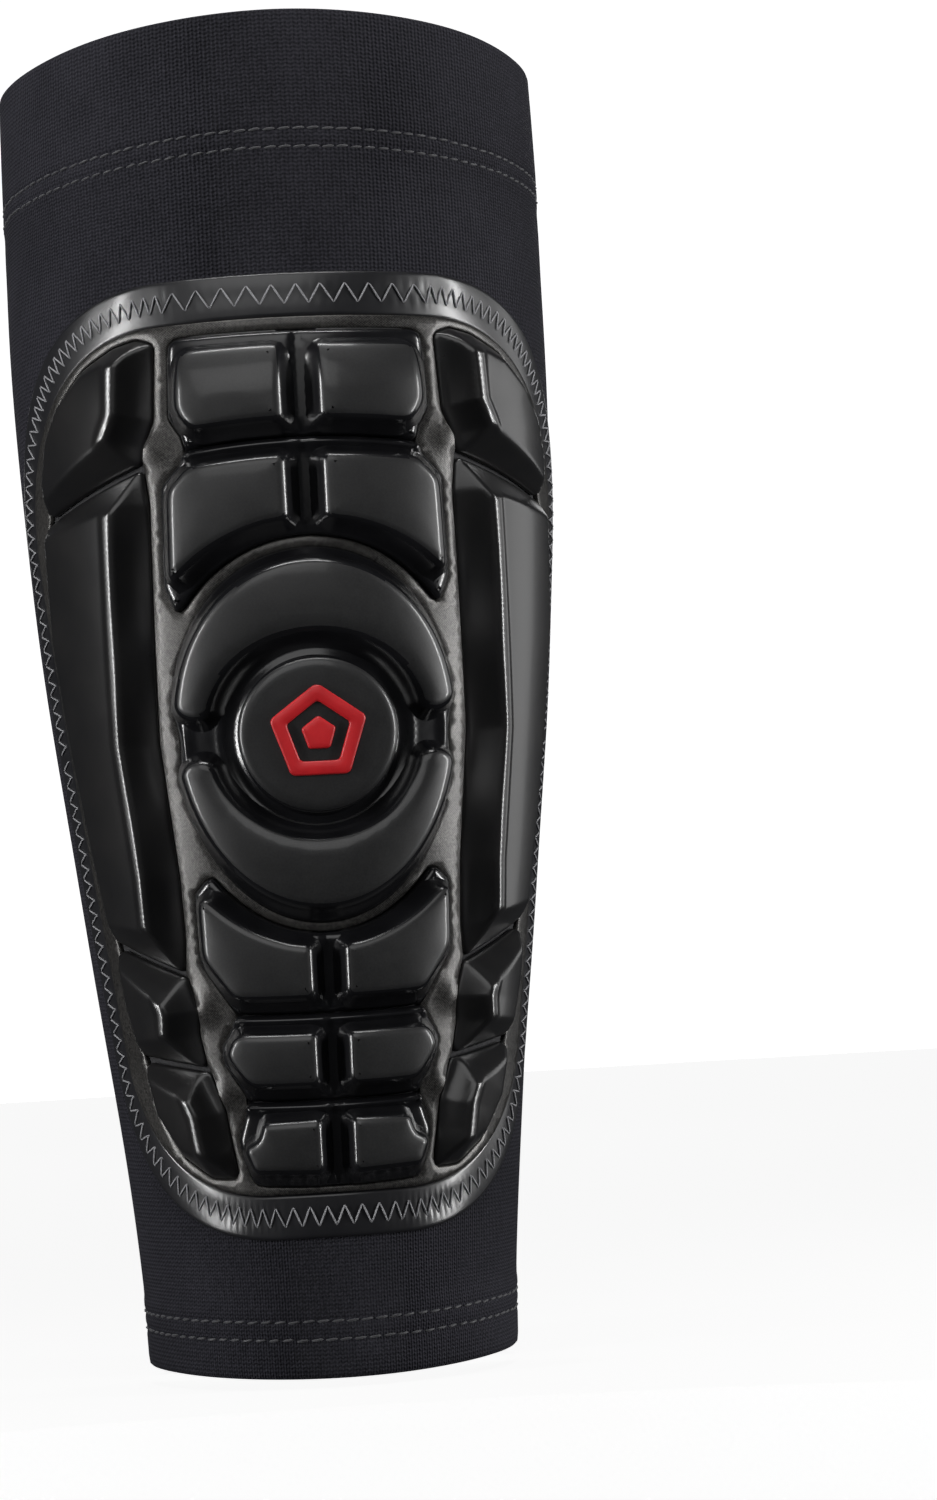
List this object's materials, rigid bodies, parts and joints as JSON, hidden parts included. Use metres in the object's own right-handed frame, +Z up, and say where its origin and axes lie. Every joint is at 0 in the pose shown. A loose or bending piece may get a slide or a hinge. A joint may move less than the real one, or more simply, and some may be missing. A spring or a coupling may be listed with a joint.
{
  "type": "shin guard",
  "caption": "Pull-on knit sleeve shin guard with a segmented foam pad sewn on the front: paired raised pads, a ringed round centre pad, side rails and two flex grooves.",
  "frame": {"origin": "on the leg axis, in the plane of the lower hem", "axes": "+Z up the leg towards the knee, the pad faces -Y, +X to the right seen from the front"},
  "size_m": [0.1082, 0.1142, 0.258],
  "materials": {
    "knit": "compression knit, soft sheen",
    "seam_thread": "flat seam stitching",
    "hem_thread": "cover-stitch thread",
    "border_thread": "light grey polyester thread",
    "foam": "soft impact foam",
    "field_film": "satin film",
    "border_film": "smooth glossy film",
    "base_film": "glossy moulded film",
    "pad_skin": "satin moulded film over foam",
    "badge": "raised red film"
  },
  "bodies": {
    "calf": {"sleeve_upper": "knit", "top_cuff": "knit", "top_cuff_stitching": "hem_thread", "back_seam_upper": "seam_thread", "foam_sheet_upper": "foam", "outer_film_upper": "field_film", "border_film_upper": "border_film", "border_stitching_upper": "border_thread", "row_1_base": "base_film", "row_1_pad_left": "pad_skin", "row_1_pad_right": "pad_skin", "wing_pad_left": "pad_skin", "wing_pad_right": "pad_skin"},
    "shin": {"sleeve_middle": "knit", "back_seam_middle": "seam_thread", "foam_sheet_middle": "foam", "outer_film_middle": "field_film", "border_film_middle": "border_film", "border_stitching_middle": "border_thread", "row_2_base": "base_film", "row_2_pad_left": "pad_skin", "row_2_pad_right": "pad_skin", "ring_base": "base_film", "upper_crescent_pad": "pad_skin", "lower_crescent_pad": "pad_skin", "centre_pad": "pad_skin", "badge": "badge", "row_3_base": "base_film", "row_3_pad_left": "pad_skin", "row_3_pad_right": "pad_skin", "side_rail_left": "pad_skin", "side_rail_right": "pad_skin"},
    "ankle": {"sleeve_lower": "knit", "bottom_cuff": "knit", "bottom_cuff_stitching": "hem_thread", "back_seam_lower": "seam_thread", "foam_sheet_lower": "foam", "outer_film_lower": "field_film", "border_film_lower": "border_film", "border_stitching_lower": "border_thread", "row_4_base": "base_film", "row_4_pad_left": "pad_skin", "row_4_pad_right": "pad_skin", "row_5_base": "base_film", "row_5_pad_left": "pad_skin", "row_5_pad_right": "pad_skin", "side_block_left": "pad_skin", "side_block_right": "pad_skin", "corner_block_left": "pad_skin", "corner_block_right": "pad_skin"}
  },
  "joints": [
    {"name": "upper_flex", "type": "hinge", "parent": "shin", "child": "calf", "pos_m": [0, -0.05475, 0.176], "axis": [1, 0, 0], "range_deg": [0, 12], "stiffness_Nm_per_rad": 1.2},
    {"name": "lower_flex", "type": "hinge", "parent": "shin", "child": "ankle", "pos_m": [0, -0.04421, 0.069], "axis": [-1, 0, 0], "range_deg": [0, 15], "stiffness_Nm_per_rad": 0.8}
  ]
}
